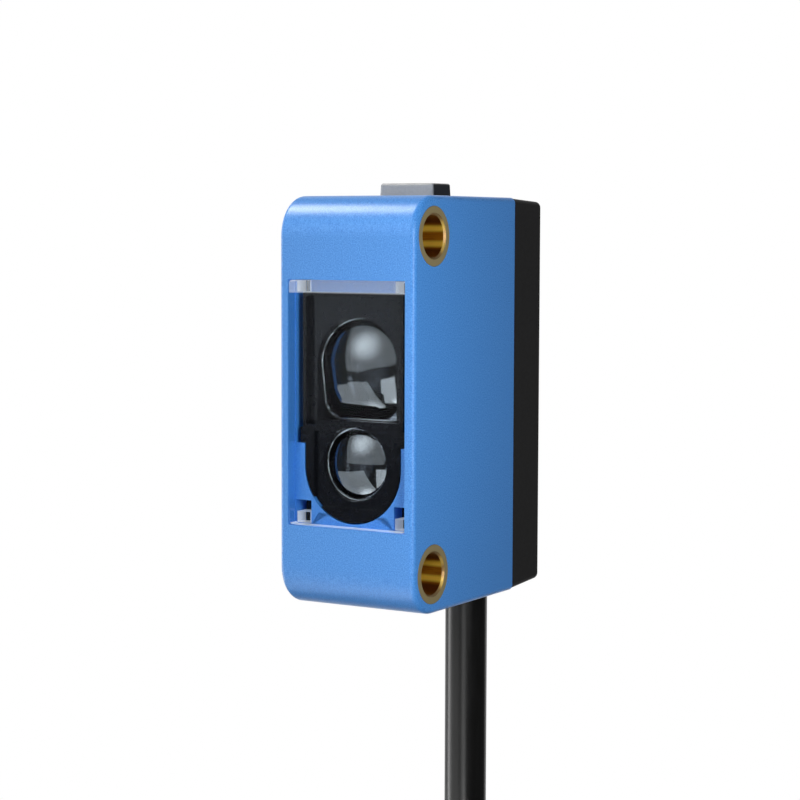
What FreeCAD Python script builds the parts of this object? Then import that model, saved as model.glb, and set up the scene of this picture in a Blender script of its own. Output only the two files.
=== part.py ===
import FreeCAD, Part

import math
import os

import Sketcher

# Color mark sensor, a miniature block housing for two M3 screws, with a moulded-in cable.
# Millimetres. +X runs along the mounting bores, the window faces -Y, +Z is up.
# The origin lies midway between the two mounting bores, on the centre plane.

doc = FreeCAD.newDocument("ColorMarkSensor")
Vector = FreeCAD.Vector

# Driving dimensions, one cell each.
SIZES = (
    # housing
    ("housing_width", 12.0),
    ("housing_height", 31.5),
    ("front_depth", 15.65),
    ("cover_depth", 5.35),
    ("bore_to_front", 2.9),
    ("wall", 0.9),
    ("corner_radius", 3.1),
    ("edge_radius", 0.45),
    ("fit_gap", 0.05),
    # rear cover
    ("cover_inset", 0.05),
    ("cover_draft", 0.23),
    ("cover_edge_radius", 0.6),
    ("spigot_length", 0.9),
    ("spigot_wall", 0.6),
    # mounting bores and their sleeves
    ("bore_spacing", 25.4),
    ("bore_diameter", 3.2),
    ("sleeve_diameter", 4.5),
    ("sleeve_chamfer", 0.15),
    ("sleeve_gap", 0.02),
    # window recess and pane
    ("window_width", 10.4),
    ("window_height", 18.8),
    ("window_thickness", 0.9),
    ("window_corner", 0.3),
    ("ledge_depth", 1.0),
    ("ledge_thickness", 1.2),
    ("leg_width", 1.3),
    ("leg_height", 0.85),
    ("leg_pocket", 1.85),
    # optics block
    ("receiver_top", 8.4),
    ("receiver_bottom", -1.9),
    ("receiver_half_width", 4.45),
    ("shoulder_inset", 0.4),
    ("shoulder_bottom", -3.1),
    ("emitter_barrel_z", -4.84),
    ("emitter_barrel_radius", 4.2),
    ("carrier_length", 9.4),
    ("carrier_gap", 0.1),
    ("carrier_rim", 0.25),
    ("panel_depth", 0.6),
    ("flange_inset", 0.15),
    ("flange_thickness", 1.2),
    ("flange_setback", 0.85),
    # receiver lens
    ("receiver_lens_half_width", 3.5),
    ("receiver_lens_arch_z", 3.0),
    ("receiver_lens_bottom", -1.3),
    ("receiver_lens_corner", 1.2),
    ("receiver_lens_thickness", 2.6),
    ("receiver_lens_sphere", 7.0),
    ("receiver_lens_setback", 0.2),
    ("lens_seat", 0.4),
    # emitter lens
    ("emitter_lens_radius", 2.8),
    ("emitter_lens_z", -4.6),
    ("emitter_lens_thickness", 2.4),
    ("emitter_lens_sphere", 3.9),
    ("emitter_lens_setback", 0.15),
    ("emitter_recess_depth", 0.3),
    ("emitter_recess_bottom", -7.95),
    # boards and what they carry
    ("board_thickness", 1.0),
    ("board_clearance", 0.15),
    ("sensor_board_inset", 0.5),
    ("sensor_board_bottom", -9.3),
    ("main_board_bottom_gap", 1.85),
    ("main_board_top_gap", 2.55),
    ("rib_height", 0.6),
    ("rib_thickness", 0.9),
    ("rib_length", 2.0),
    ("rib_z", 8.6),
    ("photodiode_side", 3.0),
    ("photodiode_height", 0.9),
    ("rgb_emitter_side", 2.4),
    ("rgb_emitter_height", 0.8),
    ("controller_side", 5.0),
    ("controller_z", 4.0),
    ("driver_side", 3.0),
    ("driver_z", -3.5),
    ("chip_height", 0.9),
    ("header_length", 7.6),
    ("header_height", 1.6),
    ("header_z", -7.6),
    ("indicator_side", 1.6),
    ("indicator_height", 0.8),
    # light pipes of the two indicators
    ("pipe_diameter", 1.5),
    ("pipe_flange_diameter", 2.0),
    ("pipe_spacing", 6.4),
    ("pipe_y", 10.4),
    # teach button and its switch
    ("button_width", 5.1),
    ("button_length", 3.0),
    ("button_y", 7.35),
    ("button_height", 1.05),
    ("button_corner", 0.25),
    ("button_edge", 0.2),
    ("button_taper", 2.5),
    ("button_gap", 0.1),
    ("button_flange", 0.4),
    ("button_flange_thickness", 0.5),
    ("button_stem_diameter", 2.0),
    ("button_stem_length", 0.35),
    ("button_travel", 0.3),
    ("seal_thickness", 0.25),
    ("plunger_diameter", 1.6),
    ("plunger_length", 1.2),
    ("plunger_standing", 0.7),
    ("switch_width", 4.6),
    ("switch_height", 2.3),
    ("switch_front", 1.15),
    # cable
    ("cable_diameter", 3.5),
    ("cable_to_rear", 2.2),
    ("jacket_inside", 4.45),
    ("clamp_width", 6.8),
    ("clamp_depth", 3.95),
    ("clamp_height", 2.65),
    ("core_diameter", 0.95),
    ("core_offset", 0.55),
    # inner ends of the cores: straight rise, pad row heights and pad places
    ("lead_rise", 0.6),
    ("lead_upper_row", 3.4),
    ("lead_lower_row", 1.9),
    ("lead_outer_pad", 2.3),
    ("lead_inner_pad", 0.86),
    ("cable_drop", 30.25),
    ("coil_mean_diameter", 40.5),
    ("coil_layers", 4.0),
    ("coil_edge", 1.0),
    ("tail_length", 21.0),
    ("core_length", 26.0),
    ("core_end_length", 5.0),
    ("core_end_diameter", 0.6),
    # how far the free cores spread at their bend and at their end, and how unlike they are
    ("core_bend_height", 10.92),
    ("core_bend_side", 0.35),
    ("core_bend_back", 0.6),
    ("core_end_side", 1.7),
    ("core_end_back", 2.6),
    ("core_spread_step", 0.22),
    ("tie_width", 2.6),
    ("tie_thickness", 1.0),
    ("tie_gap", 0.05),
    ("tie_slack", 0.15),
    ("tie_head_length", 4.4),
    ("tie_head_width", 5.0),
    ("tie_head_height", 3.4),
)

sheet = doc.addObject("Spreadsheet::Sheet", "Sizes")
for row, (alias, number) in enumerate(SIZES, start=1):
    sheet.set(f"A{row}", alias)
    sheet.set(f"B{row}", str(number))
    sheet.setAlias(f"B{row}", alias)
# A sheet of its own for sums that the code asks for, so that asking rebuilds nothing.
answers = doc.addObject("Spreadsheet::Sheet", "Answers")
doc.recompute()


def size(alias):
    """The number in a cell of the sheet."""
    return float(sheet.get(alias))


def cells(text):
    """An expression on the sheet, from words with spaces between them: each alias is its cell."""
    words = []
    for word in text.replace("(", " ( ").replace(")", " ) ").split():
        words.append(f"Sizes.{word}" if word in ALIASES else word)
    return " ".join(words)


ALIASES = {alias for alias, _ in SIZES}

# Planes and edges of the housing, as expressions.
HALF_WIDTH = "( housing_width / 2 )"
TOP = "( housing_height / 2 )"
FRONT = "( 0 - bore_to_front )"
SPLIT = "( front_depth - bore_to_front )"
REAR = "( front_depth + cover_depth - bore_to_front )"
INNER_HALF_WIDTH = "( housing_width / 2 - wall )"
INNER_TOP = "( housing_height / 2 - wall )"
CAVITY_FRONT = "( sleeve_diameter / 2 + wall )"
OPTICS_TOP = "( bore_spacing / 2 - sleeve_diameter / 2 - wall )"
LEDGE = f"( {FRONT} + ledge_depth )"
LEDGE_REAR = f"( {LEDGE} + ledge_thickness )"
CARRIER_REAR = f"( {LEDGE} + carrier_length )"
SENSOR_BOARD = f"( {CARRIER_REAR} + fit_gap )"
MAIN_BOARD_REAR = f"( {SPLIT} - spigot_length - fit_gap )"
MAIN_BOARD = f"( {MAIN_BOARD_REAR} - board_thickness )"
SHOULDER = f"( {INNER_HALF_WIDTH} - shoulder_inset )"
FLANGE = f"( {INNER_HALF_WIDTH} - flange_inset )"
SENSOR_BOARD_SIDE = f"( {INNER_HALF_WIDTH} - sensor_board_inset )"
MAIN_BOARD_TOP = f"( {TOP} - main_board_top_gap )"
MAIN_BOARD_BOTTOM = f"( main_board_bottom_gap - {TOP} )"
CABLE_Y = f"( {REAR} - cable_to_rear )"
JACKET_END = f"( jacket_inside - {TOP} )"
BUTTON_FLANGE_TOP = f"( {INNER_TOP} - seal_thickness - fit_gap * 2 )"
BUTTON_FLANGE_BOTTOM = f"( {BUTTON_FLANGE_TOP} - button_flange_thickness )"
STEM_BOTTOM = f"( {BUTTON_FLANGE_BOTTOM} - button_stem_length )"
PLUNGER_TOP = f"( {STEM_BOTTOM} - fit_gap )"
SWITCH_TOP = f"( {PLUNGER_TOP} - plunger_standing )"

# What is written, by label.
parts = {}

# The sign of each origin plane's normal along its axis.
NORMAL_SIGN = {"XY": 1, "XZ": -1, "YZ": 1}


def new_body(label, kept=True):
    """A body of a sub-part. One that is kept is written as its own file."""
    body = doc.addObject("PartDesign::Body", label)
    body.Label = label
    if kept:
        parts[label] = body
    return body


def new_sketch(body, name, plane, at):
    """A sketch on an origin plane of a body, moved along the plane's axis to a coordinate."""
    sketch = body.newObject("Sketcher::SketchObject", name)
    for feature in body.Origin.OriginFeatures:
        if feature.Role == f"{plane}_Plane":
            sketch.AttachmentSupport = [(feature, "")]
    sketch.MapMode = "FlatFace"
    sign = "" if NORMAL_SIGN[plane] > 0 else "0 - "
    sketch.setExpression(".AttachmentOffset.Base.z", cells(f"{sign}( {at} )"))
    return sketch


def bind(sketch, constraint, expression):
    """Adds a constraint to a sketch and binds its value to the sheet."""
    index = sketch.addConstraint(constraint)
    sketch.setExpression(f"Constraints[{index}]", cells(expression))


def add_outline(sketch, corners):
    """A closed outline of straight lines, each corner bound to the sheet."""
    count = len(corners)
    first = sketch.GeometryCount
    start = [
        Vector(math.cos(2 * math.pi * k / count), math.sin(2 * math.pi * k / count), 0)
        for k in range(count)
    ]
    for k in range(count):
        sketch.addGeometry(Part.LineSegment(start[k], start[(k + 1) % count]), False)
    for k in range(count):
        follower = first + (k + 1) % count
        sketch.addConstraint(Sketcher.Constraint("Coincident", first + k, 2, follower, 1))
    for k, (across, up) in enumerate(corners):
        line = first + k
        bind(sketch, Sketcher.Constraint("DistanceX", -1, 1, line, 1, start[k].x), across)
        bind(sketch, Sketcher.Constraint("DistanceY", -1, 1, line, 1, start[k].y), up)


def add_rectangle(sketch, low_u, high_u, low_v, high_v):
    """A rectangle between two coordinates each way."""
    add_outline(sketch, ((low_u, low_v), (high_u, low_v), (high_u, high_v), (low_u, high_v)))


def add_circle(sketch, across, up, radius):
    """A circle at a point of the sketch."""
    circle = sketch.addGeometry(Part.Circle(Vector(1, 1, 0), Vector(0, 0, 1), 1), False)
    bind(sketch, Sketcher.Constraint("DistanceX", -1, 1, circle, 3, 1), across)
    bind(sketch, Sketcher.Constraint("DistanceY", -1, 1, circle, 3, 1), up)
    bind(sketch, Sketcher.Constraint("Radius", circle, 1), radius)


def pad(body, sketch, length, toward=1, middle=False, taper=None):
    """Material from a sketch, along its plane's axis, one way or from the middle."""
    feature = body.newObject("PartDesign::Pad", f"{sketch.Name}Pad")
    feature.Profile = sketch
    feature.setExpression("Length", cells(length))
    if middle:
        feature.Midplane = True
    else:
        plane = sketch.AttachmentSupport[0][0].Role[:2]
        feature.Reversed = toward * NORMAL_SIGN[plane] < 0
    if taper:
        feature.setExpression("TaperAngle", cells(taper))
    sketch.Visibility = False
    doc.recompute()
    return feature


def pocket(body, sketch, length, toward):
    """A cut from a sketch along its plane's axis, which has to take material away."""
    before = body.Shape.Volume
    feature = body.newObject("PartDesign::Pocket", f"{sketch.Name}Pocket")
    feature.Profile = sketch
    feature.setExpression("Length", cells(length))
    plane = sketch.AttachmentSupport[0][0].Role[:2]
    feature.Reversed = toward * NORMAL_SIGN[plane] > 0
    doc.recompute()
    if not body.Shape.Volume < before:
        raise RuntimeError(f"{feature.Name} cuts nothing")
    return feature


def dress(body, kind, name, amount, wanted):
    """A fillet or chamfer on the edges of a body that a test picks."""
    base = body.Tip
    names = [f"Edge{i}" for i, edge in enumerate(base.Shape.Edges, start=1) if wanted(edge)]
    if not names:
        raise RuntimeError(f"{name} finds no edges")
    feature = body.newObject(f"PartDesign::{kind}", name)
    feature.Base = (base, names)
    feature.setExpression("Size" if kind == "Chamfer" else "Radius", cells(amount))
    doc.recompute()
    return feature


def near(one, other):
    """Whether two coordinates are the same."""
    return abs(one - other) < 1e-4


def runs_along(edge, axis):
    """Whether an edge is straight and parallel to an axis, 0 for X, 1 for Y or 2 for Z."""
    if edge.Curve.TypeId != "Part::GeomLine":
        return False
    return near(abs(edge.tangentAt(edge.FirstParameter)[axis]), 1.0)


def lies_at(edge, axis, place):
    """Whether every point of an edge has the same coordinate on an axis."""
    box = edge.BoundBox
    low = (box.XMin, box.YMin, box.ZMin)[axis]
    high = (box.XMax, box.YMax, box.ZMax)[axis]
    return abs(low - place) < 1e-3 and abs(high - place) < 1e-3


def value(expression):
    """The number that an expression on the sheet gives now."""
    answers.set("A1", f"={cells(expression)}")
    answers.recompute()
    return float(answers.get("A1"))


def make_front_housing():
    """The blue moulded housing: a rounded profile, hollow from behind, open at the window."""
    body = new_body("front_housing")
    side = new_sketch(body, "HousingSide", "YZ", "0")
    add_rectangle(side, FRONT, SPLIT, f"0 - {TOP}", TOP)
    pad(body, side, "housing_width", middle=True)
    front, split = value(FRONT), value(SPLIT)
    half_width = value(HALF_WIDTH)
    dress(
        body,
        "Fillet",
        "HousingCorners",
        "corner_radius",
        lambda edge: runs_along(edge, 0) and lies_at(edge, 1, front),
    )
    dress(
        body,
        "Fillet",
        "HousingEdges",
        "edge_radius",
        lambda edge: (lies_at(edge, 0, half_width) or lies_at(edge, 0, -half_width))
        and not lies_at(edge, 1, split),
    )
    # The space for the boards, from the split to just behind the sleeves.
    cavity = new_sketch(body, "HousingCavity", "XZ", SPLIT)
    add_rectangle(
        cavity, f"0 - {INNER_HALF_WIDTH}", INNER_HALF_WIDTH, f"0 - {INNER_TOP}", INNER_TOP
    )
    pocket(body, cavity, f"{SPLIT} - {CAVITY_FRONT}", -1)
    # The space for the optics, between the two sleeves, up to the ledge.
    optics = new_sketch(body, "HousingOptics", "XZ", CAVITY_FRONT)
    add_rectangle(
        optics, f"0 - {INNER_HALF_WIDTH}", INNER_HALF_WIDTH, f"0 - {OPTICS_TOP}", OPTICS_TOP
    )
    pocket(body, optics, f"{CAVITY_FRONT} - {LEDGE_REAR}", -1)
    # The recess that the pane lies in.
    recess = new_sketch(body, "HousingRecess", "XZ", FRONT)
    add_rectangle(
        recess,
        "0 - window_width / 2",
        "window_width / 2",
        "0 - window_height / 2",
        "window_height / 2",
    )
    pocket(body, recess, "ledge_depth", 1)
    # The ledge is open for the optics block: wide above, round below.
    opening = new_sketch(body, "HousingOpening", "XZ", LEDGE)
    add_rectangle(
        opening,
        f"0 - {INNER_HALF_WIDTH}",
        INNER_HALF_WIDTH,
        "shoulder_bottom - fit_gap",
        "receiver_top + fit_gap",
    )
    pocket(body, opening, "ledge_thickness", 1)
    barrel = new_sketch(body, "HousingBarrel", "XZ", LEDGE)
    add_circle(barrel, "0.0", "emitter_barrel_z", "emitter_barrel_radius + carrier_gap")
    pocket(body, barrel, "ledge_thickness", 1)
    bridge = new_sketch(body, "HousingBridge", "XZ", LEDGE)
    half = "( emitter_barrel_radius + carrier_gap )"
    add_rectangle(bridge, f"0 - {half}", half, "emitter_barrel_z", "shoulder_bottom")
    pocket(body, bridge, "ledge_thickness", 1)
    # The pane's four legs drop into pockets at the corners of the ledge.
    leg_inner = "( window_width / 2 - fit_gap * 2 - leg_width - carrier_gap )"
    for name, low, high in (
        ("Lower", "0 - window_height / 2", "leg_pocket - window_height / 2"),
        ("Upper", "receiver_top + fit_gap", "window_height / 2"),
    ):
        for hand, inner, outer in (
            ("Left", f"0 - {leg_inner}", f"0 - {INNER_HALF_WIDTH}"),
            ("Right", leg_inner, INNER_HALF_WIDTH),
        ):
            legs = new_sketch(body, f"HousingLeg{name}{hand}", "XZ", LEDGE)
            add_rectangle(legs, inner, outer, low, high)
            pocket(body, legs, "ledge_thickness", 1)
    # Bores for the sleeves, right across.
    bores = new_sketch(body, "HousingBores", "YZ", HALF_WIDTH)
    for sign in ("", "0 - "):
        add_circle(bores, "0.0", f"{sign}bore_spacing / 2", "sleeve_diameter / 2 + sleeve_gap")
    pocket(body, bores, "housing_width", -1)
    # The opening of the teach button and the holes of the light pipes.
    button = new_sketch(body, "HousingButton", "XY", TOP)
    add_rectangle(
        button,
        "0 - button_width / 2 - button_gap",
        "button_width / 2 + button_gap",
        "button_y - button_length / 2 - button_gap",
        "button_y + button_length / 2 + button_gap",
    )
    pocket(body, button, "wall", -1)
    opening_half = value("button_width / 2 + button_gap")
    top = value(TOP)
    dress(
        body,
        "Fillet",
        "HousingButtonCorners",
        "button_corner",
        lambda edge: runs_along(edge, 2)
        and near(abs(edge.Vertexes[0].X), opening_half)
        and edge.BoundBox.ZMax > top - 1e-3,
    )
    pipes = new_sketch(body, "HousingPipes", "XY", TOP)
    for sign in ("", "0 - "):
        add_circle(pipes, f"{sign}pipe_spacing / 2", "pipe_y", "pipe_diameter / 2 + fit_gap")
    pocket(body, pipes, "wall", -1)
    # Ribs on the side walls that the main board lies against.
    for level, sign in (("Lower", "0 - "), ("Upper", "")):
        middle = f"( {sign}rib_z )"
        for hand, wall, inner in (
            ("Left", f"0 - {HALF_WIDTH} + wall / 2", f"0 - {INNER_HALF_WIDTH} + rib_height"),
            ("Right", f"{HALF_WIDTH} - wall / 2", f"{INNER_HALF_WIDTH} - rib_height"),
        ):
            rib = new_sketch(body, f"HousingRib{level}{hand}", "XZ", f"{MAIN_BOARD} - fit_gap")
            low, high = f"{middle} - rib_length / 2", f"{middle} + rib_length / 2"
            add_rectangle(rib, wall, inner, low, high)
            pad(body, rib, "rib_thickness", toward=-1)


def make_rear_cover():
    """The black cover: a tapered cap with rounded rear edges, a spigot and the cable passage."""
    body = new_body("rear_cover")
    block = body.newObject("PartDesign::AdditiveWedge", "CoverOutside")
    half_width, half_height = f"{HALF_WIDTH} - cover_inset", f"{TOP} - cover_inset"
    for face, slope in (("", ""), ("2", " - cover_draft")):
        block.setExpression(f"X{face}min", cells(f"0 - ( {half_width}{slope} )"))
        block.setExpression(f"X{face}max", cells(f"{half_width}{slope}"))
        block.setExpression(f"Z{face}min", cells(f"0 - ( {half_height}{slope} )"))
        block.setExpression(f"Z{face}max", cells(f"{half_height}{slope}"))
    block.setExpression("Ymin", cells(SPLIT))
    block.setExpression("Ymax", cells(REAR))
    doc.recompute()
    split, rear = value(SPLIT), value(REAR)
    dress(
        body,
        "Fillet",
        "CoverEdges",
        "cover_edge_radius",
        lambda edge: lies_at(edge, 1, rear),
    )
    dress(
        body,
        "Fillet",
        "CoverCorners",
        "edge_radius",
        lambda edge: near(min(corner.Y for corner in edge.Vertexes), split)
        and max(corner.Y for corner in edge.Vertexes) > split + 1e-3,
    )
    spigot_half_width = f"( {INNER_HALF_WIDTH} - fit_gap )"
    spigot_half_height = f"( {INNER_TOP} - fit_gap )"
    spigot = new_sketch(body, "CoverSpigot", "XZ", SPLIT)
    add_rectangle(
        spigot,
        f"0 - {spigot_half_width}",
        spigot_half_width,
        f"0 - {spigot_half_height}",
        spigot_half_height,
    )
    pad(body, spigot, "spigot_length", toward=-1)
    inner_half_width = f"( {spigot_half_width} - spigot_wall )"
    inner_half_height = f"( {spigot_half_height} - spigot_wall )"
    hollow = new_sketch(body, "CoverHollow", "XZ", f"{SPLIT} - spigot_length")
    add_rectangle(
        hollow,
        f"0 - {inner_half_width}",
        inner_half_width,
        f"0 - {inner_half_height}",
        inner_half_height,
    )
    pocket(body, hollow, "spigot_length + cover_depth - wall", 1)
    # The cable comes in from below and lies in a groove of the rear wall.
    passage = new_sketch(body, "CoverPassage", "XY", f"0 - {TOP}")
    add_circle(passage, "0.0", CABLE_Y, "cable_diameter / 2 + sleeve_gap")
    pocket(body, passage, "jacket_inside", 1)


def make_sleeves():
    """The two brass sleeves that take the mounting screws, across the full width."""
    for label, sign in (("upper_sleeve", ""), ("lower_sleeve", "0 - ")):
        body = new_body(label)
        ring = new_sketch(body, f"{label}_ring", "YZ", "0")
        add_circle(ring, "0.0", f"{sign}bore_spacing / 2", "sleeve_diameter / 2")
        add_circle(ring, "0.0", f"{sign}bore_spacing / 2", "bore_diameter / 2")
        pad(body, ring, "housing_width", middle=True)
        bore_radius = size("bore_diameter") / 2
        dress(
            body,
            "Chamfer",
            f"{label}_mouths",
            "sleeve_chamfer",
            lambda edge: edge.Curve.TypeId == "Part::GeomCircle"
            and near(edge.Curve.Radius, bore_radius),
        )


def make_front_window():
    """The clear pane with its four moulded legs."""
    body = new_body("front_window")
    half_width = "( window_width / 2 - fit_gap )"
    half_height = "( window_height / 2 - fit_gap )"
    pane = new_sketch(body, "WindowPane", "XZ", LEDGE)
    add_rectangle(pane, f"0 - {half_width}", half_width, f"0 - {half_height}", half_height)
    pad(body, pane, "window_thickness", toward=-1)
    dress(body, "Fillet", "WindowCorners", "window_corner", lambda edge: runs_along(edge, 1))
    outer = "( window_width / 2 - fit_gap * 2 - carrier_gap )"
    inner = f"( {outer} - leg_width + carrier_gap )"
    high = f"( {half_height} - fit_gap )"
    for name, low_z, high_z in (
        ("Lower", f"0 - {high}", f"leg_height - {high}"),
        ("Upper", f"{high} - leg_height", high),
    ):
        for hand, near_x, far_x in (
            ("Left", f"0 - {inner}", f"0 - {outer}"),
            ("Right", inner, outer),
        ):
            leg = new_sketch(body, f"WindowLeg{name}{hand}", "XZ", LEDGE)
            add_rectangle(leg, near_x, far_x, low_z, high_z)
            pad(body, leg, "ledge_thickness", toward=1)


def make_lens_carrier():
    """The black optics block: a square receiver housing above a round emitter barrel."""
    body = new_body("lens_carrier")
    upper = new_sketch(body, "CarrierReceiver", "XZ", LEDGE)
    half = "receiver_half_width"
    add_rectangle(upper, f"0 - {half}", half, "receiver_bottom", "receiver_top")
    pad(body, upper, "carrier_length", toward=1)
    lower = new_sketch(body, "CarrierEmitter", "XZ", LEDGE)
    add_circle(lower, "0.0", "emitter_barrel_z", "emitter_barrel_radius")
    pad(body, lower, "carrier_length", toward=1)
    bridge = new_sketch(body, "CarrierBridge", "XZ", LEDGE)
    half = "emitter_barrel_radius"
    add_rectangle(bridge, f"0 - {half}", half, "emitter_barrel_z", "receiver_bottom")
    pad(body, bridge, "carrier_length", toward=1)
    shoulder = new_sketch(body, "CarrierShoulder", "XZ", LEDGE)
    half = SHOULDER
    add_rectangle(shoulder, f"0 - {half}", half, "shoulder_bottom", "receiver_bottom")
    pad(body, shoulder, "ledge_thickness + flange_setback", toward=1)
    # The flange behind the ledge, and the two pads that lie against the ledge.
    flange_half_height = f"( {OPTICS_TOP} - carrier_gap * 2 )"
    half = FLANGE
    flange = new_sketch(body, "CarrierFlange", "XZ", f"{LEDGE_REAR} + flange_setback")
    add_rectangle(flange, f"0 - {half}", half, f"0 - {flange_half_height}", flange_half_height)
    pad(body, flange, "flange_thickness", toward=1)
    for name, low, high in (
        ("Lower", f"0 - {flange_half_height}", "shoulder_bottom - carrier_gap"),
        ("Upper", "receiver_top - carrier_gap", flange_half_height),
    ):
        seat = new_sketch(body, f"CarrierSeat{name}", "XZ", f"{LEDGE_REAR} + fit_gap")
        add_rectangle(seat, f"0 - {half}", half, low, high)
        pad(body, seat, "flange_setback", toward=1)
    # The sunk panel round the receiver lens, the lens's seat and the light's way behind it.
    panel = new_sketch(body, "CarrierPanel", "XZ", LEDGE)
    half = "( receiver_half_width - carrier_rim )"
    add_rectangle(
        panel,
        f"0 - {half}",
        half,
        "receiver_bottom + carrier_rim",
        "receiver_top - carrier_rim",
    )
    pocket(body, panel, "panel_depth", 1)
    seat_depth = "( receiver_lens_setback + receiver_lens_thickness + fit_gap )"
    for name, radius, low, depth in (
        (
            "Seat",
            "( receiver_lens_half_width + fit_gap )",
            "receiver_lens_bottom - fit_gap",
            seat_depth,
        ),
        (
            "Chamber",
            "( receiver_lens_half_width - lens_seat )",
            "receiver_lens_bottom + lens_seat",
            "carrier_length",
        ),
    ):
        arch = new_sketch(body, f"CarrierArch{name}", "XZ", LEDGE)
        add_circle(arch, "0.0", "receiver_lens_arch_z", radius)
        pocket(body, arch, depth, 1)
        straight = new_sketch(body, f"CarrierStraight{name}", "XZ", LEDGE)
        add_rectangle(straight, f"0 - {radius}", radius, low, "receiver_lens_arch_z")
        pocket(body, straight, depth, 1)
    # The sunk D round the emitter lens, its seat and its bore.
    sunk = new_sketch(body, "CarrierSunk", "XZ", LEDGE)
    half = "( emitter_barrel_radius - carrier_rim * 3 )"
    add_rectangle(
        sunk, f"0 - {half}", half, "emitter_recess_bottom", "receiver_bottom - carrier_rim"
    )
    pocket(body, sunk, "emitter_recess_depth", 1)
    seat_depth = "( emitter_lens_setback + emitter_lens_thickness + fit_gap )"
    for name, radius, depth in (
        ("Seat", "emitter_lens_radius + fit_gap", seat_depth),
        ("Chamber", "emitter_lens_radius - lens_seat", "carrier_length"),
    ):
        bore = new_sketch(body, f"CarrierBore{name}", "XZ", LEDGE)
        add_circle(bore, "0.0", "emitter_lens_z", radius)
        pocket(body, bore, depth, 1)


def place(feature, x=None, y=None, z=None):
    """Binds the place of a primitive to the sheet."""
    for axis, expression in (("x", x), ("y", y), ("z", z)):
        if expression is not None:
            feature.setExpression(f"Placement.Base.{axis}", cells(expression))


def make_lenses():
    """The two moulded lenses: a domed front on an arched plate, and a domed round plug."""
    blank = new_body("ReceiverBlank", kept=False)
    front = f"( {LEDGE} + receiver_lens_setback )"
    half = "receiver_lens_half_width"
    arch = new_sketch(blank, "ReceiverArch", "XZ", front)
    add_circle(arch, "0.0", "receiver_lens_arch_z", half)
    pad(blank, arch, "receiver_lens_thickness", toward=1)
    straight = new_sketch(blank, "ReceiverStraight", "XZ", front)
    add_rectangle(straight, f"0 - {half}", half, "receiver_lens_bottom", "receiver_lens_arch_z")
    pad(blank, straight, "receiver_lens_thickness", toward=1)
    low = size("receiver_lens_bottom")
    dress(
        blank,
        "Fillet",
        "ReceiverCorners",
        "receiver_lens_corner",
        lambda edge: runs_along(edge, 1) and near(edge.Vertexes[0].Z, low),
    )
    dome = doc.addObject("Part::Sphere", "ReceiverDome")
    dome.setExpression("Radius", cells("receiver_lens_sphere"))
    middle = "( receiver_lens_arch_z + receiver_lens_half_width + receiver_lens_bottom ) / 2"
    place(dome, y=f"{front} + receiver_lens_sphere", z=middle)
    lens = doc.addObject("Part::Common", "ReceiverLens")
    lens.Base = blank
    lens.Tool = dome
    lens.Label = "receiver_lens"
    parts["receiver_lens"] = lens

    plug = doc.addObject("Part::Cylinder", "EmitterPlug")
    plug.setExpression("Radius", cells("emitter_lens_radius"))
    plug.setExpression("Height", cells("emitter_lens_thickness"))
    plug.Placement.Rotation = FreeCAD.Rotation(Vector(1, 0, 0), -90)
    front = f"( {LEDGE} + emitter_lens_setback )"
    place(plug, y=front, z="emitter_lens_z")
    dome = doc.addObject("Part::Sphere", "EmitterDome")
    dome.setExpression("Radius", cells("emitter_lens_sphere"))
    place(dome, y=f"{front} + emitter_lens_sphere", z="emitter_lens_z")
    lens = doc.addObject("Part::Common", "EmitterLens")
    lens.Base = plug
    lens.Tool = dome
    lens.Label = "emitter_lens"
    parts["emitter_lens"] = lens


def make_plate(label, low_x, high_x, low_y, high_y, low_z, high_z):
    """A plain rectangular piece between two coordinates each way."""
    piece = doc.addObject("Part::Box", label)
    piece.Label = label
    piece.setExpression("Length", cells(f"{high_x} - ( {low_x} )"))
    piece.setExpression("Width", cells(f"{high_y} - ( {low_y} )"))
    piece.setExpression("Height", cells(f"{high_z} - ( {low_z} )"))
    place(piece, low_x, low_y, low_z)
    parts[label] = piece
    return piece


def make_boards():
    """The sensor board behind the optics, the main board, and the parts soldered to them."""
    board = SENSOR_BOARD_SIDE
    sensor_rear = f"( {SENSOR_BOARD} + board_thickness )"
    make_plate(
        "sensor_board",
        f"0 - {board}",
        board,
        SENSOR_BOARD,
        sensor_rear,
        "sensor_board_bottom",
        "receiver_top",
    )
    main_half = f"( {INNER_HALF_WIDTH} - board_clearance )"
    make_plate(
        "main_board",
        f"0 - {main_half}",
        main_half,
        MAIN_BOARD,
        MAIN_BOARD_REAR,
        MAIN_BOARD_BOTTOM,
        MAIN_BOARD_TOP,
    )
    receiver_z = "( receiver_lens_arch_z + receiver_lens_half_width + receiver_lens_bottom ) / 2"
    for label, side, height, face, way, middle in (
        ("photodiode", "photodiode_side", "photodiode_height", SENSOR_BOARD, -1, receiver_z),
        ("rgb_emitter", "rgb_emitter_side", "rgb_emitter_height", SENSOR_BOARD, -1, "emitter_lens_z"),
        ("microcontroller", "controller_side", "chip_height", MAIN_BOARD_REAR, 1, "controller_z"),
        ("output_driver", "driver_side", "chip_height", MAIN_BOARD_REAR, 1, "driver_z"),
    ):
        low_y = face if way > 0 else f"{face} - {height}"
        high_y = f"{face} + {height}" if way > 0 else face
        half = f"{side} / 2"
        low_z, high_z = f"{middle} - {half}", f"{middle} + {half}"
        make_plate(label, f"0 - {half}", half, low_y, high_y, low_z, high_z)
    make_plate(
        "board_header",
        "0 - header_length / 2",
        "header_length / 2",
        sensor_rear,
        MAIN_BOARD,
        "header_z - header_height / 2",
        "header_z + header_height / 2",
    )


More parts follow.
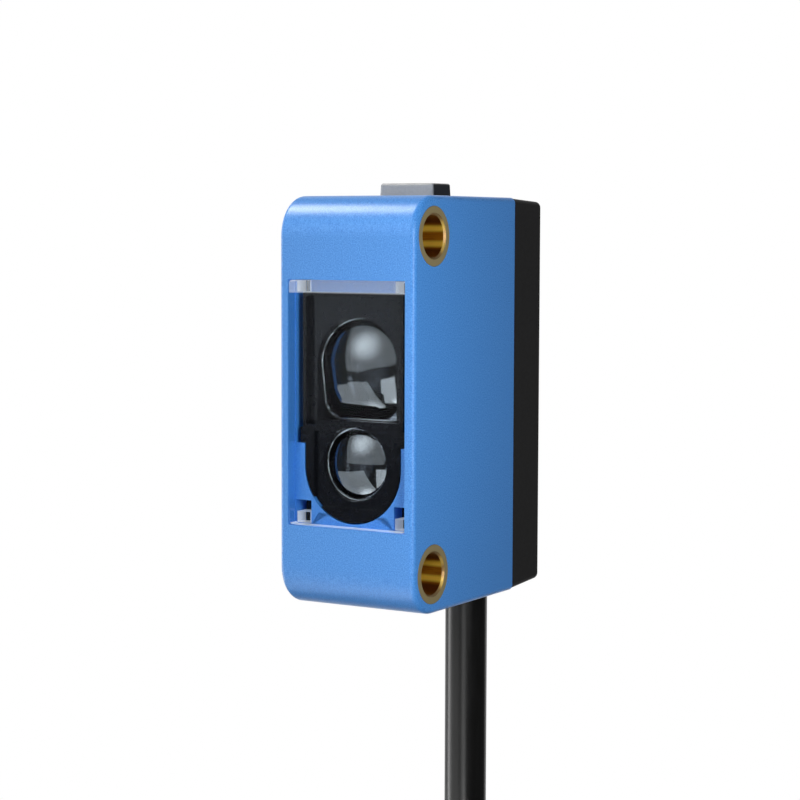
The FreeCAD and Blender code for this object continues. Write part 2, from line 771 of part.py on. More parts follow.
def make_indicators():
    """Two indicator LEDs at the top edge of the main board, each under its light pipe."""
    for colour, sign in (("green", "0 - "), ("orange", "")):
        middle = f"( {sign}pipe_spacing / 2 )"
        make_plate(
            f"indicator_{colour}",
            f"{middle} - indicator_side / 2",
            f"{middle} + indicator_side / 2",
            f"{MAIN_BOARD} - indicator_height",
            MAIN_BOARD,
            f"{MAIN_BOARD_TOP} - indicator_height",
            MAIN_BOARD_TOP,
        )
        label = f"light_pipe_{colour}"
        body = new_body(label)
        flange = new_sketch(body, f"{label}_flange", "XY", f"{MAIN_BOARD_TOP} + fit_gap")
        add_circle(flange, middle, "pipe_y", "pipe_flange_diameter / 2")
        pad(body, flange, f"{INNER_TOP} - {MAIN_BOARD_TOP} - fit_gap * 2")
        shank = new_sketch(body, f"{label}_shank", "XY", f"{MAIN_BOARD_TOP} + fit_gap")
        add_circle(shank, middle, "pipe_y", "pipe_diameter / 2")
        pad(body, shank, f"{TOP} - {MAIN_BOARD_TOP} - fit_gap")


def make_teach_button():
    """The push button in the top face, its seal, and the switch that it presses."""
    body = new_body("teach_button")
    cap = new_sketch(body, "ButtonCap", "XY", BUTTON_FLANGE_BOTTOM)
    add_rectangle(
        cap,
        "0 - button_width / 2",
        "button_width / 2",
        "button_y - button_length / 2",
        "button_y + button_length / 2",
    )
    cap_height = f"( {TOP} + button_height - {BUTTON_FLANGE_BOTTOM} )"
    pad(body, cap, cap_height, taper="0 - button_taper")
    base, crown = value(BUTTON_FLANGE_BOTTOM), value(f"{TOP} + button_height")
    dress(
        body,
        "Fillet",
        "ButtonCorners",
        "button_corner",
        lambda edge: not lies_at(edge, 2, base) and not lies_at(edge, 2, crown),
    )
    dress(body, "Fillet", "ButtonEdge", "button_edge", lambda edge: lies_at(edge, 2, crown))
    flange = new_sketch(body, "ButtonFlange", "XY", BUTTON_FLANGE_BOTTOM)
    add_rectangle(
        flange,
        "0 - button_width / 2 - button_flange",
        "button_width / 2 + button_flange",
        "button_y - button_length / 2 - button_flange",
        "button_y + button_length / 2 + button_flange",
    )
    pad(body, flange, "button_flange_thickness")
    stem = new_sketch(body, "ButtonStem", "XY", BUTTON_FLANGE_BOTTOM)
    add_circle(stem, "0.0", "button_y", "button_stem_diameter / 2")
    pad(body, stem, "button_stem_length", toward=-1)

    seal = new_body("button_seal")
    ring = new_sketch(seal, "SealRing", "XY", f"{INNER_TOP} - fit_gap")
    for margin in ("button_flange + button_gap", "button_gap"):
        add_rectangle(
            ring,
            f"0 - button_width / 2 - ( {margin} )",
            f"button_width / 2 + {margin}",
            f"button_y - button_length / 2 - ( {margin} )",
            f"button_y + button_length / 2 + {margin}",
        )
    pad(seal, ring, "seal_thickness", toward=-1)

    switch = new_body("switch_body")
    box = new_sketch(switch, "SwitchBox", "XY", SWITCH_TOP)
    add_rectangle(
        box, "0 - switch_width / 2", "switch_width / 2", "button_y - switch_front", MAIN_BOARD
    )
    pad(switch, box, "switch_height", toward=-1)
    well = new_sketch(switch, "SwitchWell", "XY", SWITCH_TOP)
    add_circle(well, "0.0", "button_y", "plunger_diameter / 2 + fit_gap")
    pocket(switch, well, "plunger_length - plunger_standing + button_travel + button_gap", -1)

    plunger = doc.addObject("Part::Cylinder", "switch_plunger")
    plunger.Label = "switch_plunger"
    plunger.setExpression("Radius", cells("plunger_diameter / 2"))
    plunger.setExpression("Height", cells("plunger_length"))
    place(plunger, y="button_y", z=f"{PLUNGER_TOP} - plunger_length")
    parts["switch_plunger"] = plunger


ARC_SHARE = 0.45


def rounded_path(points):
    """Straight runs joined by tangent arcs, each as large as its two runs allow."""
    edges = []
    radii = []
    start = points[0]
    for before, corner, after in zip(points, points[1:], points[2:]):
        back = before - corner
        ahead = after - corner
        turn = math.pi - back.getAngle(ahead)
        cut = ARC_SHARE * min(back.Length, ahead.Length)
        radius = cut / math.tan(turn / 2)
        enter = corner + back * (cut / back.Length)
        leave = corner + ahead * (cut / ahead.Length)
        inward = (enter + leave) * 0.5 - corner
        depth = radius / math.cos(turn / 2) - radius
        middle = corner + inward * (depth / inward.Length)
        edges.append(Part.LineSegment(start, enter).toShape())
        edges.append(Part.Arc(enter, middle, leave).toShape())
        radii.append(round(radius, 1))
        start = leave
    edges.append(Part.LineSegment(start, points[-1]).toShape())
    return Part.Wire(edges), radii


def make_tube(label, points, diameter, rounded=True):
    """A round tube along a route, checked against its section times its length."""
    wire, radii = rounded_path(points) if rounded else (Part.makePolygon(points), [])
    section = Part.Wire([Part.makeCircle(diameter / 2, points[0], points[1] - points[0])])
    shape = wire.makePipeShell([section], True, False, 0 if rounded else 1)
    due = math.pi * diameter**2 / 4 * wire.Length
    print(f"{label}: length {wire.Length:.1f}, radii {radii}, volume {shape.Volume / due:.4f} of due")
    if abs(shape.Volume / due - 1) > 0.01:
        raise RuntimeError(f"{label} isn't a clean tube")
    feature = doc.addObject("Part::Feature", label)
    feature.Label = label
    feature.Shape = shape
    parts[label] = feature
    return wire.Length


CORES = (("brown", -1, 1), ("white", 1, 1), ("blue", -1, -1), ("black", 1, -1))


def make_clamp():
    """The block that presses the cable jacket into the groove of the cover's rear wall."""
    wall_y = f"( {REAR} - wall - fit_gap )"
    floor_z = f"( {INNER_TOP} - fit_gap * 2 - spigot_wall )"
    block = doc.addObject("Part::Box", "ClampBlock")
    block.setExpression("Length", cells("clamp_width"))
    block.setExpression("Width", cells("clamp_depth"))
    block.setExpression("Height", cells("clamp_height"))
    place(block, "0 - clamp_width / 2", f"{wall_y} - clamp_depth", f"0 - {floor_z}")
    hole = doc.addObject("Part::Cylinder", "ClampHole")
    hole.setExpression("Radius", cells("cable_diameter / 2 + sleeve_gap"))
    hole.setExpression("Height", cells("clamp_height * 2"))
    place(hole, y=CABLE_Y, z=f"0 - {floor_z} - clamp_height / 2")
    clamp = doc.addObject("Part::Cut", "CableClamp")
    clamp.Base = block
    clamp.Tool = hole
    clamp.Label = "cable_clamp"
    parts["cable_clamp"] = clamp


def make_inner_leads():
    """The inner ends of the four cores, from the jacket to their pads on the main board."""
    cable_y, jacket_end = value(CABLE_Y), value(JACKET_END)
    pad_y = value(MAIN_BOARD_REAR)
    offset, diameter = size("core_offset"), size("core_diameter")
    for colour, side, back in CORES:
        rear_pair = back > 0
        x = side * size("lead_outer_pad" if rear_pair else "lead_inner_pad")
        y = cable_y + back * offset
        z = jacket_end + size("lead_upper_row" if rear_pair else "lead_lower_row")
        start = Vector(side * offset, y, jacket_end)
        rise = start + Vector(0, 0, size("lead_rise"))
        points = (start, rise, Vector(x, y, z), Vector(x, pad_y, z))
        make_tube(f"inner_lead_{colour}", points, diameter, rounded=False)


def make_cable():
    """The free cable: a straight drop, a tied coil and a short tail with four stripped cores."""
    diameter = size("cable_diameter")
    cable_y, jacket_end, bottom = value(CABLE_Y), value(JACKET_END), value(f"0 - {TOP}")
    layers = size("coil_layers")
    bundle = diameter * layers
    outer_turn = size("coil_mean_diameter") / 2 + bundle / 2 - diameter / 2
    corner_z = bottom - size("cable_drop")
    coil_z = corner_z - outer_turn * math.sqrt(2)
    # The drop bends once and runs onto the outer turn of the coil at 45 degrees.
    onto = outer_turn / math.sqrt(2)
    points = (
        Vector(0, cable_y, jacket_end),
        Vector(0, cable_y, corner_z),
        Vector(diameter / 2, cable_y + onto, coil_z + onto),
    )
    lead = make_tube("cable_lead", points, diameter)
    tail_x, tail_y = -diameter / 2, cable_y + outer_turn
    tail_end = coil_z - size("tail_length")
    points = (Vector(tail_x, tail_y, coil_z), Vector(tail_x, tail_y, tail_end))
    tail = make_tube("cable_tail", points, diameter)
    turns = layers**2 - 45.0 / 360 - 270.0 / 360
    wound = math.pi * size("coil_mean_diameter") * turns
    inside = jacket_end - bottom
    print(f"cable outside the housing: about {lead - inside + wound + tail:.0f} mm")
    print(f"coil centre: y {cable_y:.3f}, z {coil_z:.3f}, outer turn radius {outer_turn:.3f}")
    make_coil(cable_y, coil_z, bundle)
    make_tie(cable_y, coil_z, bundle)
    make_cores(Vector(tail_x, tail_y, tail_end))


def make_coil(middle_y, middle_z, bundle):
    """The outer shape of the coil: a ring with a rounded square section, about the X axis."""
    body = new_body("cable_coil")
    body.Placement.Base = Vector(0, middle_y, middle_z)
    section = new_sketch(body, "CoilSection", "XY", "0")
    half = "( cable_diameter * coil_layers / 2 )"
    radius = "( coil_mean_diameter / 2 )"
    add_rectangle(section, f"0 - {half}", half, f"{radius} - {half}", f"{radius} + {half}")
    ring = body.newObject("PartDesign::Revolution", "CoilRing")
    ring.Profile = section
    ring.ReferenceAxis = (section, ["H_Axis"])
    ring.Angle = 360
    doc.recompute()
    side = bundle / 2
    dress(
        body,
        "Chamfer",
        "CoilEdges",
        "coil_edge",
        lambda edge: edge.Curve.TypeId == "Part::GeomCircle"
        and near(abs(edge.Curve.Center.x), side),
    )


def make_tie(middle_y, middle_z, bundle):
    """The nylon tie round the bundle at the top of the coil, with its locking head above."""
    body = new_body("cable_tie")
    body.Placement.Base = Vector(0, middle_y, middle_z)
    half = "( cable_diameter * coil_layers / 2 + tie_gap )"
    outer = f"( {half} + tie_thickness )"
    middle = "( coil_mean_diameter / 2 )"
    strap = new_sketch(body, "TieStrap", "XZ", "0")
    below = "tie_slack"
    add_rectangle(strap, f"0 - {outer}", outer, f"{middle} - {outer} - {below}", f"{middle} + {outer}")
    add_rectangle(strap, f"0 - {half}", half, f"{middle} - {half} - {below}", f"{middle} + {half}")
    pad(body, strap, "tie_width", middle=True)
    outside = bundle / 2 + size("tie_gap") + size("tie_thickness")
    dress(
        body,
        "Fillet",
        "TieCorners",
        "tie_thickness",
        lambda edge: runs_along(edge, 1) and near(abs(edge.Vertexes[0].X), outside),
    )
    head = new_sketch(body, "TieHead", "YZ", f"{half} + tie_head_height")
    add_rectangle(
        head,
        "0 - tie_head_length / 2",
        "tie_head_length / 2",
        f"{middle} - tie_head_width / 2",
        f"{middle} + tie_head_width / 2",
    )
    pad(body, head, "tie_head_height", toward=-1)


def make_cores(end):
    """The four stripped cores below the jacket's end, spread a little, with tinned ends."""
    offset, diameter = size("core_offset"), size("core_diameter")
    length, tip = size("core_length"), size("core_end_length")
    tips = []
    bend_side, bend_back = size("core_bend_side"), size("core_bend_back")
    end_side, end_back = size("core_end_side"), size("core_end_back")
    for number, (colour, side, back) in enumerate(CORES):
        spread = 1.0 + size("core_spread_step") * number
        start = end + Vector(side * offset, back * offset, 0)
        across = Vector(side * bend_side * spread, back * bend_back * spread, 0)
        bend = start + across - Vector(0, 0, size("core_bend_height"))
        apart = Vector(side * end_side * spread, back * end_back * spread, 0)
        last = start + apart - Vector(0, 0, length)
        make_tube(f"core_{colour}", (start, bend, last), diameter)
        along = (last - bend) * (1 / (last - bend).Length)
        tips.append(Part.makeCylinder(size("core_end_diameter") / 2, tip, last, along))
    feature = doc.addObject("Part::Feature", "core_ends")
    feature.Label = "core_ends"
    feature.Shape = Part.Compound(tips)
    parts["core_ends"] = feature


def write_parts():
    """Checks every object and every shape, then writes one STEP file for each sub-part."""
    doc.recompute()
    for thing in doc.Objects:
        if "Invalid" in thing.State or "Error" in thing.State:
            raise RuntimeError(f"{thing.Label} failed: {thing.State}")
    for label, piece in parts.items():
        if piece.Shape.isNull() or not piece.Shape.isValid() or not piece.Shape.Solids:
            raise RuntimeError(f"{label} has no valid solid")
    os.makedirs("parts", exist_ok=True)
    for label, piece in parts.items():
        piece.Shape.exportStep(os.path.join("parts", f"{label}.step"))
    print(f"{len(parts)} sub-parts written")


make_front_housing()
make_rear_cover()
make_sleeves()
make_front_window()
make_lens_carrier()
make_lenses()
make_boards()
make_indicators()
make_teach_button()
make_clamp()
make_inner_leads()
make_cable()
write_parts()
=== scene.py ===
import logging
import math
from dataclasses import dataclass, field
from enum import Enum

import bmesh
import bpy
from mathutils import Matrix, Vector


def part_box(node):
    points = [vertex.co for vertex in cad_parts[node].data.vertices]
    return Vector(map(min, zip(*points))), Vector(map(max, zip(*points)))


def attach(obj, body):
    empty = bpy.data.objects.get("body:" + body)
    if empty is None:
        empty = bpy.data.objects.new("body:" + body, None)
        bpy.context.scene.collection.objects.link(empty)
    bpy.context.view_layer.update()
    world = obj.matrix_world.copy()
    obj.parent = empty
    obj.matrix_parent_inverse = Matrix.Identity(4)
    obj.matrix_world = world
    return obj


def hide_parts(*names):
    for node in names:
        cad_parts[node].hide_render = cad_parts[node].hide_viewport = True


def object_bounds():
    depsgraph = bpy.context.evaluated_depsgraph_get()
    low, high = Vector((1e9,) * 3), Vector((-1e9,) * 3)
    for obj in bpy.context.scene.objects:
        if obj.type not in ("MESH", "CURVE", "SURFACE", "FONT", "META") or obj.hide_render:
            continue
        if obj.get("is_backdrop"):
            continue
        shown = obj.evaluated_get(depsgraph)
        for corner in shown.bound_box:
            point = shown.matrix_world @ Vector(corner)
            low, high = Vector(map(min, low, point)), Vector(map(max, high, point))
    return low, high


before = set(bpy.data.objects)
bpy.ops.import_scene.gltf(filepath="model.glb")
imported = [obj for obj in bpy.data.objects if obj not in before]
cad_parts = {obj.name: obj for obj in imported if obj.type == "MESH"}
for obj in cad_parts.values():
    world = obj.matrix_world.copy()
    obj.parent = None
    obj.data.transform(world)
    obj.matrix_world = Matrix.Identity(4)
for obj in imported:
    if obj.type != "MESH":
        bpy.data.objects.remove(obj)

# Looks of a miniature color mark sensor with a fixed cable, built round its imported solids.
# Metres throughout; sizes named in millimetres end in _mm and pass through MM.

MM = 0.001
LOG = logging.getLogger("sensor")
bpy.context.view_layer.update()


class Surface(Enum):
    """How moulding, drawing, twisting or extruding left a surface."""

    GRAIN = "spark-eroded mould grain"
    SATIN = "satin mould"
    POLISHED = "polished mould"
    DRAWN = "drawn tube"
    TWISTED = "twisted strands"
    EXTRUDED = "extruded jacket"


@dataclass(frozen=True)
class Texture:
    """How a surface's noise is drawn out on X, Y and Z, and how finely it is broken up."""

    stretch: tuple[float, float, float] = (1.0, 1.0, 1.0)
    detail: float = 1.5


# A small share on an axis draws the pattern out into lines along that axis.
TEXTURES: dict[Surface, Texture] = {
    Surface.GRAIN: Texture(detail=3.0),
    Surface.SATIN: Texture(),
    Surface.POLISHED: Texture(),
    Surface.DRAWN: Texture((0.12, 1.0, 1.0)),
    Surface.TWISTED: Texture((1.0, 0.1, 0.1)),
    Surface.EXTRUDED: Texture((1.0, 1.0, 0.12)),
}


@dataclass(frozen=True)
class Finish:
    """One opaque finish: its two close colours, its gloss and the pattern of its surface."""

    name: str
    colour: str
    second: str
    roughness: float
    surface: Surface
    pitch_mm: float
    bump_mm: float
    specular: float = 0.5
    metallic: float = 0.0
    # The colour of the faces turned towards the ends of X, where it differs: the brass's own pale
    # faced ends, and painted shade on the button's sides.
    side_colour_or_painted_shade: str | None = None


@dataclass(frozen=True)
class Clear:
    """One clear moulded plastic: its tint, refraction and haze, and the coat over it."""

    name: str
    tint: str
    refraction: float
    roughness: float
    coat: float = 0.0
    coat_refraction: float = 1.9
    coat_roughness: float = 0.06


@dataclass(frozen=True)
class Pane(Clear):
    """A thin clear pane with legs: how its faces shine, and the frost on its cut edges."""

    # The share of the true mirror reflection that its faces show.
    gloss: float = 0.12
    # The legs lie behind this Y; the strip over this Z carries a slight veil of painted reflection.
    legs_from_mm: float = -1.88
    painted_veil_above_mm: float = 8.38
    painted_veil: float = 0.22
    frost: str = "#E9F1F8"
    frost_roughness: float = 0.18
    # The frost's emission is a painted glow: the edges and legs shine though they are no lamp.
    frost_through: float = 0.3
    frost_painted_glow: float = 0.26
    # A face counts as cut where it looks this squarely along an axis.
    squarely: float = 0.7


@dataclass(frozen=True)
class PaintedLightBand:
    """One band of painted highlight or painted shade along a bore, placed by how far the wall faces
    up or down.

    The wall's number is 0 at half height and 1 at the top and bottom. The colour starts
    where the number is as far from the middle as start, and covers where it is at full.
    """

    colour: str
    middle: float
    start: float
    full: float


# Grained ABS: a saturated light blue with fine lighter and darker specks that break the gloss.
BLUE_ABS = Finish("grained_abs_blue", "#3882D8", "#5DA5F0", 0.33, Surface.GRAIN, 0.1, 0.004, 0.42)
# Satin ABS: near black, with soft broad reflections and a very slight texture.
BLACK_ABS = Finish("satin_abs_black", "#181819", "#1E1E1F", 0.5, Surface.SATIN, 0.25, 0.002, 0.15)
# Polycarbonate blend from a polished tool: deep black with sharp reflections.
OPTICS_BLACK = Finish(
    "polished_pc_black", "#121216", "#18181C", 0.12, Surface.POLISHED, 0.8, 0.0006, 0.32
)
# Drawn brass tube, faced at its ends: pale rings, and a bore with bands of painted highlight and
# painted shade along it. The bands are painted into its colour, so it is only half metallic.
BRASS = Finish(
    "drawn_brass", "#A8690C", "#96590A", 0.3, Surface.DRAWN, 0.12, 0.002, 0.5, 0.5, "#B5A578"
)
# The bore's painted light: gold painted highlights a little above and below half height,
# and dark brown painted shade at top and bottom.
BORE_PAINTED_LIGHT = (PaintedLightBand("#FFD04A", 0.36, 0.2, 0.07), PaintedLightBand("#5A2A08", 0.0, 0.5, 0.66))
# Satin acetal: mid grey in front, with painted shade: its faces turned along X are painted dark.
BUTTON_GREY = Finish(
    "satin_acetal_grey", "#AAAAA8", "#B0B0AE", 0.4, Surface.SATIN, 0.2, 0.001, 0.4, 0.0, "#262626"
)
# Moulded silicone seal: a dull, even black.
SEAL_RUBBER = Finish("silicone_black", "#191919", "#202020", 0.6, Surface.SATIN, 0.3, 0.001, 0.3)
# Epoxy glass board under green solder mask: a soft sheen over faint weave.
BOARD_GREEN = Finish("solder_mask_green", "#14592B", "#1B6B36", 0.3, Surface.SATIN, 0.5, 0.002)
# Moulded epoxy of chips, header and switch: a dark grey, dull and finely grained.
CHIP_BLACK = Finish("moulded_epoxy_black", "#1A1A1C", "#242427", 0.55, Surface.GRAIN, 0.15, 0.002)
# White moulded resin of the small light sources and the switch's plunger: a warm satin white.
LED_WHITE = Finish("led_body_white", "#DEDED2", "#E8E8E0", 0.35, Surface.SATIN, 0.3, 0.001)
# Extruded PVC: black, slightly greasy gloss, with faint lines along the draw.
PVC_BLACK = Finish(
    "extruded_pvc_black", "#0F0F0F", "#151515", 0.3, Surface.EXTRUDED, 0.35, 0.003, 0.35
)
# Extruded PVC insulation of the cores: even colours, with a low gloss.
CORE_BROWN = Finish("core_pvc_brown", "#6B3A1E", "#7A4626", 0.42, Surface.EXTRUDED, 0.2, 0.002)
CORE_WHITE = Finish("core_pvc_white", "#E6E4DE", "#EFEDE8", 0.42, Surface.EXTRUDED, 0.2, 0.002)
CORE_BLUE = Finish("core_pvc_blue", "#2456A8", "#2C62B8", 0.42, Surface.EXTRUDED, 0.2, 0.002)
CORE_BLACK = Finish("core_pvc_black", "#1B1B1B", "#242424", 0.42, Surface.EXTRUDED, 0.2, 0.002)
# Tinned copper strands: a grey metal, dulled by its twist.
TINNED = Finish("tinned_copper", "#C9C8C2", "#A9A8A2", 0.34, Surface.TWISTED, 0.15, 0.004, 0.5, 1.0)
# Moulded nylon tie: black, with a soft sheen.
NYLON_BLACK = Finish("nylon_black", "#1A1A1A", "#222222", 0.5, Surface.SATIN, 0.3, 0.002, 0.35)

# Acrylic pane: polished faces that hardly show, pale frosted edges and legs that glow with painted
# light, and a faint veil of painted reflection along its top.
PANE_CLEAR = Pane("acrylic_pane", "#F6FAFD", 1.49, 0.02)
# Polycarbonate lenses with a daylight filter: dark glass under a hard coat, whose crisp
# reflections are as strong as the photograph's.
LENS_CLEAR = Clear("filtered_pc_lens", "#55585E", 1.58, 0.0, coat=1.0)
# Light pipes of clear moulded acrylic: a faint green tint and a slight haze.
PIPE_CLEAR = Clear("light_pipe_clear", "#E4F0E4", 1.49, 0.15)

NODE_FINISHES: dict[str, Finish | Clear] = {
    "front_housing": BLUE_ABS,
    "rear_cover": BLACK_ABS,
    "cable_clamp": BLACK_ABS,
    "upper_sleeve": BRASS,
    "lower_sleeve": BRASS,
    "front_window": PANE_CLEAR,
    "lens_carrier": OPTICS_BLACK,
    "receiver_lens": LENS_CLEAR,
    "emitter_lens": LENS_CLEAR,
    "sensor_board": BOARD_GREEN,
    "main_board": BOARD_GREEN,
    "photodiode": CHIP_BLACK,
    "rgb_emitter": LED_WHITE,
    "microcontroller": CHIP_BLACK,
    "output_driver": CHIP_BLACK,
    "board_header": CHIP_BLACK,
    "indicator_green": LED_WHITE,
    "indicator_orange": LED_WHITE,
    "light_pipe_green": PIPE_CLEAR,
    "light_pipe_orange": PIPE_CLEAR,
    "teach_button": BUTTON_GREY,
    "button_seal": SEAL_RUBBER,
    "switch_body": CHIP_BLACK,
    "switch_plunger": LED_WHITE,
    "inner_lead_brown": CORE_BROWN,
    "inner_lead_white": CORE_WHITE,
    "inner_lead_blue": CORE_BLUE,
    "inner_lead_black": CORE_BLACK,
    "cable_tie": NYLON_BLACK,
    "core_brown": CORE_BROWN,
    "core_white": CORE_WHITE,
    "core_blue": CORE_BLUE,
    "core_black": CORE_BLACK,
    "core_ends": TINNED,
}


def linear(colour: str) -> tuple[float, float, float, float]:
    """Turns an sRGB hex colour to linear light, by the sRGB standard's own formula.

    Args:
        colour: a hash and six hex digits.

    Returns:
        Red, green, blue and an alpha of 1.
    """
    channels = [int(colour[i : i + 2], 16) / 255 for i in (1, 3, 5)]
    red, green, blue = (
        c / 12.92 if c <= 0.04045 else ((c + 0.055) / 1.055) ** 2.4 for c in channels
    )
    return red, green, blue, 1.0


def add_node(
    tree: bpy.types.NodeTree,
    kind: str,
    settings: dict[str | int, object] | None = None,
    links: dict[str | int, bpy.types.NodeSocket] | None = None,
) -> bpy.types.Node:
    """Adds a shader node with its settings and links.

    Args:
        tree: the node tree that takes the node.
        kind: the node's type name, without its ShaderNode prefix.
        settings: values by socket name or number, or by attribute where no socket has the name.
        links: the sockets that feed its inputs, by input name or number.

    Returns:
        The new node.
    """
    node = tree.nodes.new(f"ShaderNode{kind}")
    for name, value in (settings or {}).items():
        if isinstance(name, int) or name in node.inputs:
            node.inputs[name].default_value = value
        else:
            setattr(node, name, value)
    for name, socket in (links or {}).items():
        tree.links.new(socket, node.inputs[name])
    return node


def new_material(name: str) -> bpy.types.Material:
    """Makes an empty node material.

    Args:
        name: the material's name.

    Returns:
        The material, with no node in it.
    """
    made = bpy.data.materials.new(name)
    made.use_nodes = True
    made.node_tree.nodes.clear()
    return made


@dataclass
class Paints:
    """Makes each finish's material once and keeps it."""

    made: dict[str, bpy.types.Material] = field(default_factory=dict)
    noise_roughness: float = 0.6
    # The pattern's values at which the first colour ends and the second is reached.
    spread: tuple[float, float] = (0.36, 0.64)
    # How squarely a face looks along X where its side colour or painted shade starts, and where it
    # covers.
    side_edges: tuple[float, float] = (0.5, 0.95)

    def of(self, finish: Finish | Clear) -> bpy.types.Material:
        """Gives a finish's material.

        Args:
            finish: an opaque or a clear finish.

        Returns:
            Its material, made on the first call.
        """
        if finish.name not in self.made:
            maker = self.clear if isinstance(finish, Clear) else self.opaque
            self.made[finish.name] = maker(finish)
        return self.made[finish.name]

    def pattern(self, tree: bpy.types.NodeTree, finish: Finish) -> bpy.types.NodeSocket:
        """Builds the pattern that a surface's making leaves.

        Args:
            tree: the material's node tree.
            finish: the finish, with its pattern's pitch.

        Returns:
            A socket from 0 to 1.
        """
        texture = TEXTURES[finish.surface]
        place = add_node(tree, "TexCoord").outputs["Object"]
        turned = add_node(tree, "Mapping", {"Scale": texture.stretch}, {"Vector": place})
        noise = add_node(
            tree,
            "TexNoise",
            {
                "Scale": 1 / (finish.pitch_mm * MM),
                "Detail": texture.detail,
                "Roughness": self.noise_roughness,
            },
            {"Vector": turned.outputs["Vector"]},
        )
        return noise.outputs["Fac"]

    def opaque(self, finish: Finish) -> bpy.types.Material:
        """Builds an opaque finish: two close colours over its pattern, and its bump.

        Args:
            finish: the finish.

        Returns:
            The material.
        """
        made = new_material(finish.name)
        tree = made.node_tree
        pattern = self.pattern(tree, finish)
        shade = self.laid(tree, finish.colour, finish.second, pattern, self.spread)
        # A drawn bore gets bands of painted highlight and painted shade.
        if finish.surface is Surface.DRAWN:
            shade = self.painted_bore_light(tree, shade)
        # Faces turned along X take their own colour, or painted shade on the button's sides.
        if finish.side_colour_or_painted_shade:
            side = self.facing(tree, "X", "Normal")
            shade = self.laid(tree, shade, finish.side_colour_or_painted_shade, side, self.side_edges)
        bump = add_node(
            tree,
            "Bump",
            {"Strength": 1.0, "Distance": finish.bump_mm * MM},
            {"Height": pattern},
        )
        shader = add_node(
            tree,
            "BsdfPrincipled",
            {
                "Roughness": finish.roughness,
                "Metallic": finish.metallic,
                "Specular IOR Level": finish.specular,
            },
            {"Base Color": shade, "Normal": bump.outputs["Normal"]},
        )
        add_node(tree, "OutputMaterial", links={"Surface": shader.outputs["BSDF"]})
        return made

    def laid(
        self,
        tree: bpy.types.NodeTree,
        below: bpy.types.NodeSocket | str,
        colour: str,
        number: bpy.types.NodeSocket,
        edges: tuple[float, float],
    ) -> bpy.types.NodeSocket:
        """Lays a colour over another as a number passes from one value to a second.

        Args:
            tree: the material's node tree.
            below: the colour below, as a socket or in hex.
            colour: the colour that is laid over it.
            number: the number that decides.
            edges: its values where the colour starts and where it covers.

        Returns:
            The joined colour.
        """
        start, full = edges
        share = add_node(
            tree, "MapRange", {"From Min": start, "From Max": full}, {"Value": number}
        )
        settings = {"data_type": "RGBA", 7: linear(colour)}
        links = {0: share.outputs["Result"]}
        if isinstance(below, str):
            settings[6] = linear(below)
        else:
            links[6] = below
        return add_node(tree, "Mix", settings, links).outputs[2]

    def painted_bore_light(
        self, tree: bpy.types.NodeTree, shade: bpy.types.NodeSocket
    ) -> bpy.types.NodeSocket:
        """Lays the bands of painted highlight and painted shade along a drawn bore.

        Args:
            tree: the material's node tree.
            shade: the colour between the bands.

        Returns:
            The joined colour.
        """
        upward = self.facing(tree, "Z", "Normal")
        for painted_band in BORE_PAINTED_LIGHT:
            apart = add_node(tree, "Math", {"operation": "SUBTRACT", 1: painted_band.middle}, {0: upward})
            near = add_node(tree, "Math", {"operation": "ABSOLUTE"}, {0: apart.outputs[0]})
            edges = (painted_band.start, painted_band.full)
            shade = self.laid(tree, shade, painted_band.colour, near.outputs[0], edges)
        return shade

    def facing(self, tree: bpy.types.NodeTree, axis: str, normal: str) -> bpy.types.NodeSocket:
        """Tells how squarely a face looks along an axis, either way.

        Args:
            tree: the material's node tree.
            axis: X, Y or Z.
            normal: which normal counts, Normal or True Normal.

        Returns:
            A socket from 0 to 1.
        """
        way = add_node(tree, "NewGeometry").outputs[normal]
        parts = add_node(tree, "SeparateXYZ", links={"Vector": way})
        size = add_node(tree, "Math", {"operation": "ABSOLUTE"}, {0: parts.outputs[axis]})
        return size.outputs[0]

    def over(
        self, tree: bpy.types.NodeTree, number: bpy.types.NodeSocket, least: float
    ) -> bpy.types.NodeSocket:
        """Tells where a number is over a limit.

        Args:
            tree: the material's node tree.
            number: the number.
            least: the limit.

        Returns:
            A socket that is 1 there and 0 elsewhere.
        """
        test = add_node(tree, "Math", {"operation": "GREATER_THAN", 1: least}, {0: number})
        return test.outputs[0]

    def clear(self, finish: Clear) -> bpy.types.Material:
        """Builds a clear plastic that lets light pass to what is behind it.

        Args:
            finish: the finish.

        Returns:
            The material.
        """
        made = new_material(finish.name)
        tree = made.node_tree
        through = add_node(tree, "BsdfTransparent", {"Color": linear(finish.tint)})
        if isinstance(finish, Pane):
            shown = self.sheet(tree, finish, through.outputs[0])
        else:
            body = add_node(
                tree,
                "BsdfPrincipled",
                {
                    "Base Color": linear(finish.tint),
                    "Roughness": finish.roughness,
                    "IOR": finish.refraction,
                    "Transmission Weight": 1.0,
                    "Coat Weight": finish.coat,
                    "Coat IOR": finish.coat_refraction,
                    "Coat Roughness": finish.coat_roughness,
                },
            )
            shown = body.outputs[0]
        path = add_node(tree, "LightPath")
        lit = add_node(
            tree,
            "Math",
            {"operation": "MAXIMUM"},
            {0: path.outputs["Is Shadow Ray"], 1: path.outputs["Is Diffuse Ray"]},
        )
        mixed = add_node(
            tree,
            "MixShader",
            links={0: lit.outputs[0], 1: shown, 2: through.outputs[0]},
        )
        add_node(tree, "OutputMaterial", links={"Surface": mixed.outputs[0]})
        return made

